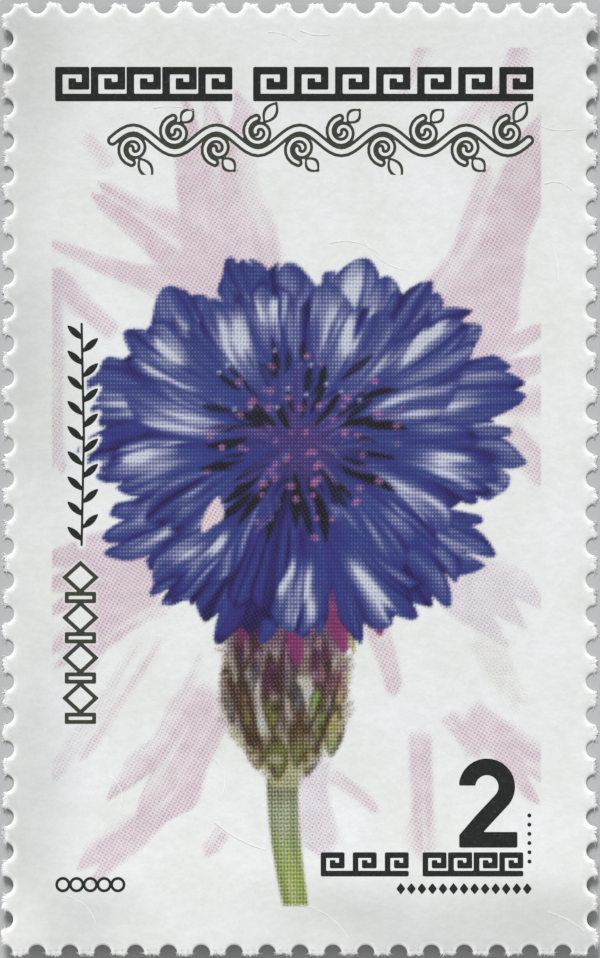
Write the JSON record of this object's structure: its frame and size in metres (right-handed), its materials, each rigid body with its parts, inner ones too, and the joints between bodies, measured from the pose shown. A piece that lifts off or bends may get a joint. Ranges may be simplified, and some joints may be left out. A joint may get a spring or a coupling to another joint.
{
  "type": "postage stamp",
  "caption": "Upright perforated postage stamp of gummed paper, printed with a blue cornflower, curling slightly at both ends.",
  "frame": {"origin": "on the resting surface, under the middle of the sheet's bounding box", "axes": "+Z out of the printed face, +Y towards the top edge of the design, +X to the design's right"},
  "size_m": [0.026, 0.0416, 0.0008],
  "materials": {
    "printed_paper": "coated off-white paper, torn fibrous teeth, process-colour print on the face",
    "dry_gum": "thin clear dry gum, slightly glossy, over off-white paper"
  },
  "bodies": {
    "root": {"stamp_paper": "printed_paper", "gum_film": "dry_gum"}
  },
  "joints": []
}
